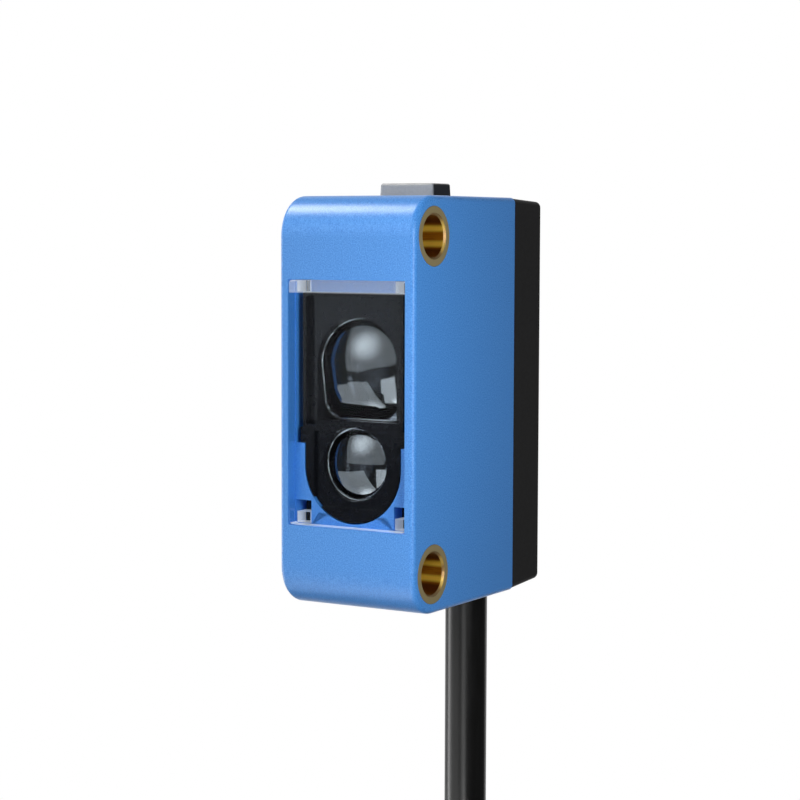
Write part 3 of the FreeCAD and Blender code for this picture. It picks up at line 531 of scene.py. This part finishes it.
    def sheet(
        self, tree: bpy.types.NodeTree, finish: Pane, through: bpy.types.NodeSocket
    ) -> bpy.types.NodeSocket:
        """Builds a thin pane: see-through from the front, frosted on its cut edges, which glow with
        painted light.

        Args:
            tree: the material's node tree.
            finish: the pane's finish.
            through: the see-through shader.

        Returns:
            The pane's shader.
        """
        normal = add_node(tree, "NewGeometry").outputs["True Normal"]
        gloss = add_node(
            tree, "BsdfGlossy", {"Roughness": finish.roughness}, {"Normal": normal}
        )
        rim = add_node(tree, "Fresnel", {"IOR": finish.refraction}, {"Normal": normal})
        faint = add_node(
            tree, "Math", {"operation": "MULTIPLY", 1: finish.gloss}, {0: rim.outputs[0]}
        )
        face = add_node(
            tree,
            "MixShader",
            links={0: faint.outputs[0], 1: through, 2: gloss.outputs[0]},
        )
        # The frost shines with painted light from its emission.
        frost = add_node(
            tree,
            "BsdfPrincipled",
            {
                "Base Color": linear(finish.frost),
                "Roughness": finish.frost_roughness,
                "Transmission Weight": finish.frost_through,
                "IOR": finish.refraction,
                "Emission Color": linear(finish.frost),
                "Emission Strength": finish.frost_painted_glow,
            },
        )
        mixed = add_node(
            tree,
            "MixShader",
            links={0: self.frost_and_painted_veil(tree, finish), 1: face.outputs[0], 2: frost.outputs[0]},
        )
        return mixed.outputs[0]

    def frost_and_painted_veil(self, tree: bpy.types.NodeTree, finish: Pane) -> bpy.types.NodeSocket:
        """Tells how far a pane is frosted: all of its cut edges, and a veil of painted reflection
        along its top.

        Args:
            tree: the material's node tree.
            finish: the pane's finish.

        Returns:
            A socket from 0 to 1.
        """
        place = add_node(tree, "TexCoord").outputs["Object"]
        spot = add_node(tree, "SeparateXYZ", links={"Vector": place})
        level = self.over(tree, self.facing(tree, "Z", "True Normal"), finish.squarely)
        side = self.over(tree, self.facing(tree, "X", "True Normal"), finish.squarely)
        leg = self.over(tree, spot.outputs["Y"], finish.legs_from_mm * MM)
        leg_side = add_node(tree, "Math", {"operation": "MULTIPLY"}, {0: side, 1: leg})
        cut = add_node(tree, "Math", {"operation": "MAXIMUM"}, {0: level, 1: leg_side.outputs[0]})
        # The top strip's veil is a painted reflection.
        painted_top = self.over(tree, spot.outputs["Z"], finish.painted_veil_above_mm * MM)
        painted_veil = add_node(tree, "Math", {"operation": "MULTIPLY", 1: finish.painted_veil}, {0: painted_top})
        share = add_node(
            tree, "Math", {"operation": "MAXIMUM"}, {0: cut.outputs[0], 1: painted_veil.outputs[0]}
        )
        return share.outputs[0]


def finish_object(
    name: str, mesh: bmesh.types.BMesh, material: bpy.types.Material
) -> bpy.types.Object:
    """Turns a bmesh into a linked, smoothly shaded object with one material.

    Args:
        name: the piece's name.
        mesh: the bmesh, which is freed.
        material: its material.

    Returns:
        The object, at the origin.
    """
    bmesh.ops.recalc_face_normals(mesh, faces=mesh.faces)
    for face in mesh.faces:
        face.smooth = True
    data = bpy.data.meshes.new(name)
    mesh.to_mesh(data)
    mesh.free()
    made = bpy.data.objects.new(name, data)
    bpy.context.scene.collection.objects.link(made)
    data.materials.append(material)
    return made


def round_curve(
    name: str, kind: str, points: list[Vector], radius: float, material: bpy.types.Material
) -> bpy.types.Object:
    """Makes a linked round curve through points or control points.

    Args:
        name: the piece's name.
        kind: the spline's type, POLY or NURBS.
        points: its points, in metres.
        radius: the radius of its section.
        material: its material.

    Returns:
        The object, at the origin.
    """
    curve = bpy.data.curves.new(name, "CURVE")
    curve.dimensions = "3D"
    curve.bevel_depth = radius
    spline = curve.splines.new(kind)
    spline.points.add(len(points) - 1)
    for point, place in zip(spline.points, points):
        point.co = (*place, 1.0)
    made = bpy.data.objects.new(name, curve)
    bpy.context.scene.collection.objects.link(made)
    curve.materials.append(material)
    return made


@dataclass
class Solids:
    """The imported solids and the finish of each."""

    finishes: dict[str, Finish | Clear] = field(default_factory=NODE_FINISHES.copy)

    def dress(self, paints: Paints) -> None:
        """Gives every node its material.

        Args:
            paints: the materials.
        """
        for name, finish in self.finishes.items():
            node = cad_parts[name]
            node.data.materials.clear()
            node.data.materials.append(paints.of(finish))
            LOG.info("node %s is %s", name, finish.name)


@dataclass
class Lenses:
    """The two moulded lenses with smooth domes, and the thin beads round them."""

    # The arched receiver lens: half a circle above, two corners and a flat below.
    arch_mm: float = 3.5
    arch_centre_mm: float = 3.0
    arch_points: int = 128
    bottom_mm: float = -1.3
    corner_mm: float = 1.2
    sphere_mm: float = 7.0
    # The round emitter lens.
    plug_radius_mm: float = 2.8
    plug_points: int = 96
    plug_sphere_mm: float = 5.4
    rings: int = 24
    # The bead follows the rim, which is the sharp edge within rim_depth_mm of the front.
    bead_mm: float = 0.14
    bead_resolution: int = 3
    rim_depth_mm: float = 1.2
    rim_angle_deg: float = 40.0
    # Points nearer than this are joined.
    join_mm: float = 0.0001

    def circle(self, radius_mm: float, points: int) -> bmesh.types.BMesh:
        """Starts a lens with a circle of edges in the plane of X and Z.

        Args:
            radius_mm: its radius.
            points: how many points it has.

        Returns:
            The bmesh.
        """
        mesh = bmesh.new()
        bmesh.ops.create_circle(mesh, segments=points, radius=radius_mm * MM)
        turn = Matrix.Rotation(math.radians(90), 3, "X")
        bmesh.ops.rotate(mesh, cent=(0, 0, 0), matrix=turn, verts=mesh.verts)
        return mesh

    def domed(
        self, outline: bmesh.types.BMesh, middle: Vector, apex: float, sphere: float, base: float
    ) -> None:
        """Fills a closed outline with rings that follow a sphere, and closes it behind.

        Args:
            outline: a bmesh with one loop of edges in the plane of X and Z.
            middle: the point that the rings shrink to.
            apex: the Y of the dome's top.
            sphere: the dome's radius.
            base: the Y of the flat back.
        """
        rim = list(outline.edges)
        for left in range(self.rings, 0, -1):
            grown = bmesh.ops.extrude_edge_only(outline, edges=rim)["geom"]
            verts = [v for v in grown if isinstance(v, bmesh.types.BMVert)]
            rim = [e for e in grown if isinstance(e, bmesh.types.BMEdge)]
            scale = (left - 1) / left
            bmesh.ops.scale(
                outline, vec=(scale, 1, scale), verts=verts, space=Matrix.Translation(-middle)
            )
        bmesh.ops.remove_doubles(outline, verts=outline.verts, dist=self.join_mm * MM)
        for vert in outline.verts:
            reach = Vector((vert.co.x - middle.x, vert.co.z - middle.z)).length
            vert.co.y = apex + sphere - math.sqrt(sphere**2 - reach**2)
        edge = [e for e in outline.edges if e.is_boundary]
        back = bmesh.ops.extrude_edge_only(outline, edges=edge)["geom"]
        for vert in back:
            if isinstance(vert, bmesh.types.BMVert):
                vert.co.y = base
        edge = [e for e in outline.edges if e.is_boundary]
        bmesh.ops.holes_fill(outline, edges=edge, sides=0)

    def rim(self, mesh: bmesh.types.BMesh) -> list[Vector]:
        """Follows the sharp edge round the front of a lens.

        Args:
            mesh: the lens.

        Returns:
            The edge's points in order, each of them once.
        """
        mesh.normal_update()
        sharp = math.radians(self.rim_angle_deg)
        edges = [e for e in mesh.edges if e.calc_face_angle(0.0) > sharp]
        behind = min(v.co.y for e in edges for v in e.verts) + self.rim_depth_mm * MM
        ring = [e for e in edges if min(v.co.y for v in e.verts) < behind]
        order = [ring[0].verts[0], ring[0].verts[1]]
        left = set(ring[1:])
        while left:
            step = next((e for e in left if order[-1] in e.verts), None)
            if step is None:
                break
            left.remove(step)
            order.append(step.other_vert(order[-1]))
        return [vert.co.copy() for vert in order[:-1]]

    def bead(
        self, name: str, mesh: bmesh.types.BMesh, material: bpy.types.Material
    ) -> bpy.types.Object:
        """Lays a thin moulded bead round the front edge of a lens.

        Args:
            name: the piece's name.
            mesh: the lens.
            material: the lens's material.

        Returns:
            The bead.
        """
        points = self.rim(mesh)
        made = round_curve(name, "POLY", points, self.bead_mm * MM, material)
        made.data.bevel_resolution = self.bead_resolution
        made.data.splines[0].use_cyclic_u = True
        LOG.info("bead %s has %d points", name, len(points))
        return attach(made, "housing")

    def receiver(self, material: bpy.types.Material) -> bpy.types.Object:
        """Makes the arched receiver lens.

        Args:
            material: its material.

        Returns:
            The piece, standing for the node.
        """
        low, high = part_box("receiver_lens")
        mesh = self.circle(self.arch_mm, self.arch_points)
        corner = self.corner_mm * MM
        floor = self.bottom_mm * MM - self.arch_centre_mm * MM
        straight = self.arch_mm * MM - corner
        for vert in mesh.verts:
            # The lower half of the circle becomes two corners with a flat between them.
            if vert.co.z < 0:
                angle = math.atan2(vert.co.z, vert.co.x)
                side = math.copysign(straight, vert.co.x)
                vert.co.x = side + corner * math.cos(angle)
                vert.co.z = floor + corner + corner * math.sin(angle)
        bmesh.ops.translate(mesh, vec=(0, 0, self.arch_centre_mm * MM), verts=mesh.verts)
        middle = Vector((0, 0, (low.z + high.z) / 2))
        self.domed(mesh, middle, low.y, self.sphere_mm * MM, high.y)
        self.bead("receiver_lens_rim", mesh, material)
        made = finish_object("receiver_lens_domed", mesh, material)
        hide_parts("receiver_lens")
        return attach(made, "housing")

    def emitter(self, material: bpy.types.Material) -> bpy.types.Object:
        """Makes the round emitter lens.

        Args:
            material: its material.

        Returns:
            The piece, standing for the node.
        """
        low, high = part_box("emitter_lens")
        middle = Vector((0, 0, (low.z + high.z) / 2))
        mesh = self.circle(self.plug_radius_mm, self.plug_points)
        bmesh.ops.translate(mesh, vec=middle, verts=mesh.verts)
        self.domed(mesh, middle, low.y, self.plug_sphere_mm * MM, high.y)
        self.bead("emitter_lens_rim", mesh, material)
        made = finish_object("emitter_lens_domed", mesh, material)
        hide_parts("emitter_lens")
        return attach(made, "housing")


@dataclass
class Cable:
    """The fixed cable: a drop, a bend, a tied coil wound turn by turn, and a short tail."""

    # The outside diameter, and the length outside the housing.
    diameter_mm: float = 3.5
    length_mm: float = 2000.0
    exit_mm: tuple[float, float, float] = (0.0, 15.9, -15.75)
    # The route's points from the part's source; the second keeps the drop straight.
    start_mm: tuple[float, float, float] = (0.0, 15.9, -11.3)
    straight_mm: tuple[float, float, float] = (0.0, 15.9, -26.0)
    corner_mm: tuple[float, float, float] = (0.0, 15.9, -46.0)
    coil_y_mm: float = 15.9
    coil_z_mm: float = -82.062
    mean_radius_mm: float = 20.25
    layers: int = 4
    points_per_turn: int = 16
    # The coil is entered an eighth of a turn past its top and left a quarter past it.
    entry_turn: float = 0.125
    leaving_turn: float = 0.25
    # The share of a turn over which the cable steps across to the next turn.
    crossing: float = 0.1875
    tail_mm: float = 21.0
    # Where the tail's middle point lies, as a share of its length.
    tail_middle: float = 0.55
    # How finely the curve's section and its route are divided.
    section_resolution: int = 6
    route_resolution: int = 5
    route_order: int = 3

    def cells(self) -> list[tuple[float, float]]:
        """Lists the turns in winding order.

        Returns:
            For each turn, its radius and its place across the coil, in millimetres.
        """
        half = (self.layers - 1) / 2
        order: list[tuple[int, int]] = []
        # The first half of the turns fills the two columns towards +X from the outside in,
        # and the second half fills the two towards -X from the inside out.
        for layer in reversed(range(self.layers)):
            columns = (2, 3) if layer % 2 else (3, 2)
            order += [(layer, column) for column in columns]
        for layer in range(self.layers):
            columns = (0, 1) if layer % 2 else (1, 0)
            order += [(layer, column) for column in columns]
        return [
            (
                self.mean_radius_mm + (layer - half) * self.diameter_mm,
                (column - half) * self.diameter_mm,
            )
            for layer, column in order
        ]

    def winding(self, cells: list[tuple[float, float]], turn: float) -> tuple[float, float]:
        """Finds the cable in the coil, on a turn or stepping across between two.

        Args:
            cells: the turns' radii and places across, in winding order.
            turn: how many turns past the top the cable is.

        Returns:
            Its radius and its place across the coil, in millimetres.
        """
        nearest = round(turn)
        share = (turn - nearest) / self.crossing + 0.5
        if not 0 < nearest < len(cells) or not 0 < share < 1:
            return cells[int(turn)]
        before, after = cells[nearest - 1], cells[nearest]
        radius, across = (a + (b - a) * share for a, b in zip(before, after))
        return radius, across

    def route(self) -> list[Vector]:
        """Works out the control points of the whole cable.

        Returns:
            The points, in metres.
        """
        points = [Vector(p) for p in (self.start_mm, self.straight_mm, self.corner_mm)]
        cells = self.cells()
        turns = len(cells) - 1 + self.leaving_turn - self.entry_turn
        # Control points lie outside the turns, as the corners of a ring of straight pieces do.
        outward = 1 / math.cos(math.pi / self.points_per_turn)
        for k in range(round(turns * self.points_per_turn)):
            turn = self.entry_turn + (k + 0.5) / self.points_per_turn
            radius, across = self.winding(cells, turn)
            angle = 2 * math.pi * turn
            y = self.coil_y_mm + radius * outward * math.sin(angle)
            z = self.coil_z_mm + radius * outward * math.cos(angle)
            points.append(Vector((across, y, z)))
        radius, across = cells[-1]
        tail_y = self.coil_y_mm + radius
        for drop in (self.tail_middle * self.tail_mm, self.tail_mm):
            points.append(Vector((across, tail_y, self.coil_z_mm - drop)))
        return [p * MM for p in points]

    def build(self, material: bpy.types.Material) -> bpy.types.Object:
        """Args:
            material: the jacket's material.

        Returns:
            The cable.
        """
        radius = self.diameter_mm * MM / 2
        made = round_curve("cable", "NURBS", self.route(), radius, material)
        made.data.bevel_resolution = self.section_resolution
        made.data.resolution_u = self.route_resolution
        made.data.use_fill_caps = True
        spline = made.data.splines[0]
        spline.order_u = self.route_order
        spline.use_endpoint_u = True
        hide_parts("cable_lead", "cable_coil", "cable_tail")
        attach(made, "housing")
        return made


class Role(Enum):
    """What a panel does: lights and is mirrored, is only mirrored, or only lights."""

    BOTH = "lamp"
    CARD = "card that only reflections show"
    FILL = "light that no reflection shows"


@dataclass
class Panel:
    """One soft light panel, placed by its direction from the sensor."""

    name: str
    # The direction is measured from straight in front, rightwards and upwards.
    azimuth_deg: float
    elevation_deg: float
    distance: float
    width: float
    height: float
    watts: float
    # The place of its bright spot, in shares of its width and height, where it has one.
    glow: tuple[float, float] | None = None
    role: Role = Role.BOTH
    # The spot's reach in the same shares, its strength and the strength away from it.
    glow_reach: float = 0.4
    glow_peak: float = 6.5
    glow_edge: float = 1.3

    def brighter(self, lamp: bpy.types.AreaLight, place: tuple[float, float]) -> None:
        """Makes the panel brighter round one place and dimmer away from it.

        Args:
            lamp: the panel's lamp.
            place: the place, in shares of its width and height.
        """
        lamp.use_nodes = True
        tree = lamp.node_tree
        tree.nodes.clear()
        where = add_node(tree, "NewGeometry").outputs["Parametric"]
        apart = add_node(
            tree, "VectorMath", {"operation": "DISTANCE", 1: (*place, 0.0)}, {0: where}
        )
        ramp = add_node(
            tree,
            "MapRange",
            {
                "interpolation_type": "SMOOTHERSTEP",
                "From Min": 0.0,
                "From Max": self.glow_reach,
                "To Min": self.glow_peak,
                "To Max": self.glow_edge,
            },
            {"Value": apart.outputs["Value"]},
        )
        shine = add_node(tree, "Emission", links={"Strength": ramp.outputs["Result"]})
        add_node(tree, "OutputLight", links={"Surface": shine.outputs[0]})

    def build(self, aim: Vector) -> bpy.types.Object:
        """Makes the panel, facing the point that it is aimed at.

        Args:
            aim: the point.

        Returns:
            The lamp.
        """
        azimuth, elevation = math.radians(self.azimuth_deg), math.radians(self.elevation_deg)
        way = Vector(
            (
                math.sin(azimuth) * math.cos(elevation),
                -math.cos(azimuth) * math.cos(elevation),
                math.sin(elevation),
            )
        )
        lamp = bpy.data.lights.new(self.name, "AREA")
        lamp.shape = "RECTANGLE"
        lamp.size = self.width
        lamp.size_y = self.height
        lamp.energy = self.watts
        if self.glow:
            self.brighter(lamp, self.glow)
        made = bpy.data.objects.new(self.name, lamp)
        made.location = aim + way * self.distance
        made.rotation_euler = way.to_track_quat("Z", "Y").to_euler()
        made.visible_camera = False
        made.visible_diffuse = self.role is not Role.CARD
        made.visible_glossy = self.role is not Role.FILL
        bpy.context.scene.collection.objects.link(made)
        return made


@dataclass
class Studio:
    """The camera at the photograph's place, a white sweep and plain soft panels."""

    eye_mm: tuple[float, float, float] = (85.55, -137.29, 12.98)
    yaw_deg: float = 31.0
    pitch_deg: float = -4.51
    roll_deg: float = 0.17
    lens_mm: float = 95.67
    sensor_mm: float = 36.0
    clip: tuple[float, float] = (0.005, 50.0)
    aim: tuple[float, float, float] = (0.0, 0.004, 0.0)
    # The world's strength for what it lights, and for mirrored rays away from the backdrop.
    ambient: float = 0.14
    room: float = 0.08
    # How closely a mirrored ray follows the camera's view where the backdrop starts and is full.
    backdrop_edges: tuple[float, float] = (0.55, 0.95)
    floor_size: float = 3.0
    floor_gap_mm: float = 2.0
    floor_cells: int = 8
    floor_white: str = "#E4E4E4"
    panels: tuple[Panel, ...] = (
        Panel("window_card", -11.0, 24.0, 0.30, 0.43, 0.34, 0.28, (0.38, 0.53), Role.CARD),
        Panel("low_left_card", -42.0, -42.0, 0.13, 0.15, 0.12, 0.055, (0.7, 0.2), Role.CARD),
        Panel("low_right_card", 18.0, -29.0, 0.13, 0.045, 0.07, 0.02, (0.8, 0.2), Role.CARD),
        Panel("left_card", -80.0, -10.0, 0.2, 0.06, 0.3, 0.36, None, Role.CARD),
        Panel("side_panel", 52.0, 7.0, 0.056, 0.016, 0.05, 0.0198),
        Panel("top_panel", -80.0, 55.0, 0.2, 0.07, 0.06, 0.24),
        Panel("high_fill", -18.0, 20.0, 0.30, 0.4, 0.3, 0.27, None, Role.FILL),
        Panel("low_fill", -24.0, -5.0, 0.20, 0.25, 0.1, 0.09, None, Role.FILL),
    )

    def camera(self) -> bpy.types.Object:
        """Sets up the camera.

        Returns:
            The camera object.
        """
        yaw, pitch, roll = (math.radians(a) for a in (self.yaw_deg, self.pitch_deg, self.roll_deg))
        ahead = Vector(
            (
                -math.sin(yaw) * math.cos(pitch),
                math.cos(yaw) * math.cos(pitch),
                math.sin(pitch),
            )
        )
        level = Vector((math.cos(yaw), math.sin(yaw), 0.0))
        up = level.cross(ahead)
        right = level * math.cos(roll) + up * math.sin(roll)
        above = up * math.cos(roll) - level * math.sin(roll)
        lens = bpy.data.cameras.new("camera")
        lens.lens = self.lens_mm
        lens.sensor_width = self.sensor_mm
        lens.sensor_fit = "HORIZONTAL"
        lens.clip_start, lens.clip_end = self.clip
        made = bpy.data.objects.new("camera", lens)
        turn = Matrix((right, above, -ahead)).transposed().to_4x4()
        made.matrix_world = Matrix.Translation(Vector(self.eye_mm) * MM) @ turn
        bpy.context.scene.collection.objects.link(made)
        bpy.context.scene.camera = made
        return made

    def sweep(self) -> None:
        """Makes the white world and the pale floor below the hanging cable."""
        world = bpy.data.worlds.new("studio")
        bpy.context.scene.world = world
        world.use_nodes = True
        tree = world.node_tree
        tree.nodes.clear()
        path = add_node(tree, "LightPath")
        way = add_node(tree, "TexCoord").outputs["Generated"]
        mirrored = self.backdrop(tree, way)
        strength = self.shown(tree, path, self.ambient, mirrored)
        back = add_node(tree, "Background", {"Color": (1, 1, 1, 1)}, {"Strength": strength})
        add_node(tree, "OutputWorld", links={"Surface": back.outputs["Background"]})
        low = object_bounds()[0]
        mesh = bmesh.new()
        cells = self.floor_cells
        bmesh.ops.create_grid(mesh, x_segments=cells, y_segments=cells, size=self.floor_size)
        below = low[2] - self.floor_gap_mm * MM
        bmesh.ops.translate(mesh, vec=(0, 0, below), verts=mesh.verts)
        floor = finish_object("floor", mesh, self.floor_paint())
        floor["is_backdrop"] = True

    def backdrop(
        self, tree: bpy.types.NodeTree, place: bpy.types.NodeSocket
    ) -> bpy.types.NodeSocket:
        """Gives what glossy rays meet: white opposite the camera, and a dim room elsewhere.

        Args:
            tree: the node tree.
            place: the direction of the ray, or the place that it meets.

        Returns:
            The strength.
        """
        way = add_node(tree, "VectorMath", {"operation": "NORMALIZE"}, {0: place})
        yaw, pitch = math.radians(self.yaw_deg), math.radians(self.pitch_deg)
        along = (-math.sin(yaw), math.cos(yaw), math.sin(pitch))
        agree = add_node(
            tree, "VectorMath", {"operation": "DOT_PRODUCT", 1: along}, {0: way.outputs[0]}
        )
        start, full = self.backdrop_edges
        ramp = add_node(
            tree,
            "MapRange",
            {
                "interpolation_type": "SMOOTHSTEP",
                "From Min": start,
                "From Max": full,
                "To Min": self.room,
                "To Max": 1.0,
            },
            {"Value": agree.outputs["Value"]},
        )
        return ramp.outputs["Result"]

    def shown(
        self,
        tree: bpy.types.NodeTree,
        path: bpy.types.Node,
        ambient: float,
        mirrored: bpy.types.NodeSocket,
    ) -> bpy.types.NodeSocket:
        """Chooses a strength by the kind of ray.

        Args:
            tree: the node tree.
            path: its Light Path node.
            ambient: what lights the object.
            mirrored: what glossy rays meet.

        Returns:
            The strength: 1 for straight rays and for those through clear plastic.
        """
        gloss = add_node(
            tree,
            "Mix",
            {"data_type": "FLOAT", 2: ambient},
            {0: path.outputs["Is Glossy Ray"], 3: mirrored},
        )
        straight = add_node(
            tree,
            "Math",
            {"operation": "MAXIMUM"},
            {0: path.outputs["Is Camera Ray"], 1: path.outputs["Is Transmission Ray"]},
        )
        total = add_node(
            tree,
            "Mix",
            {"data_type": "FLOAT", 3: 1.0},
            {0: straight.outputs[0], 2: gloss.outputs[0]},
        )
        return total.outputs[0]

    def floor_paint(self) -> bpy.types.Material:
        """Makes the floor's white, which keeps the object's shadow for other rays.

        Returns:
            The material.
        """
        made = new_material("studio_paper")
        tree = made.node_tree
        paper = add_node(tree, "BsdfDiffuse", {"Color": linear(self.floor_white)})
        place = add_node(tree, "TexCoord").outputs["Object"]
        mirrored = self.backdrop(tree, place)
        path = add_node(tree, "LightPath")
        strength = self.shown(tree, path, 0.0, mirrored)
        glow = add_node(tree, "Emission", {"Color": (1, 1, 1, 1)}, {"Strength": strength})
        lit = add_node(
            tree,
            "Math",
            {"operation": "MAXIMUM"},
            {0: path.outputs["Is Camera Ray"], 1: path.outputs["Is Glossy Ray"]},
        )
        through = add_node(
            tree,
            "Math",
            {"operation": "MAXIMUM"},
            {0: lit.outputs[0], 1: path.outputs["Is Transmission Ray"]},
        )
        mixed = add_node(
            tree,
            "MixShader",
            links={0: through.outputs[0], 1: paper.outputs[0], 2: glow.outputs[0]},
        )
        add_node(tree, "OutputMaterial", links={"Surface": mixed.outputs[0]})
        return made

    def build(self) -> None:
        """Sets the view transform, camera, lamps, world and floor."""
        bpy.context.scene.view_settings.view_transform = "Standard"
        self.camera()
        self.sweep()
        for panel in self.panels:
            panel.build(Vector(self.aim))


def main() -> None:
    """Builds the sensor's looks in order and reports each piece."""
    logging.basicConfig(level=logging.INFO, format="%(message)s")
    paints = Paints()
    Studio().build()
    made = [Cable().build(paints.of(PVC_BLACK))]
    Solids().dress(paints)
    lenses = Lenses()
    made.append(lenses.receiver(paints.of(LENS_CLEAR)))
    made.append(lenses.emitter(paints.of(LENS_CLEAR)))
    for piece in made:
        LOG.info("piece %s", piece.name)


if __name__ == "__main__":
    main()
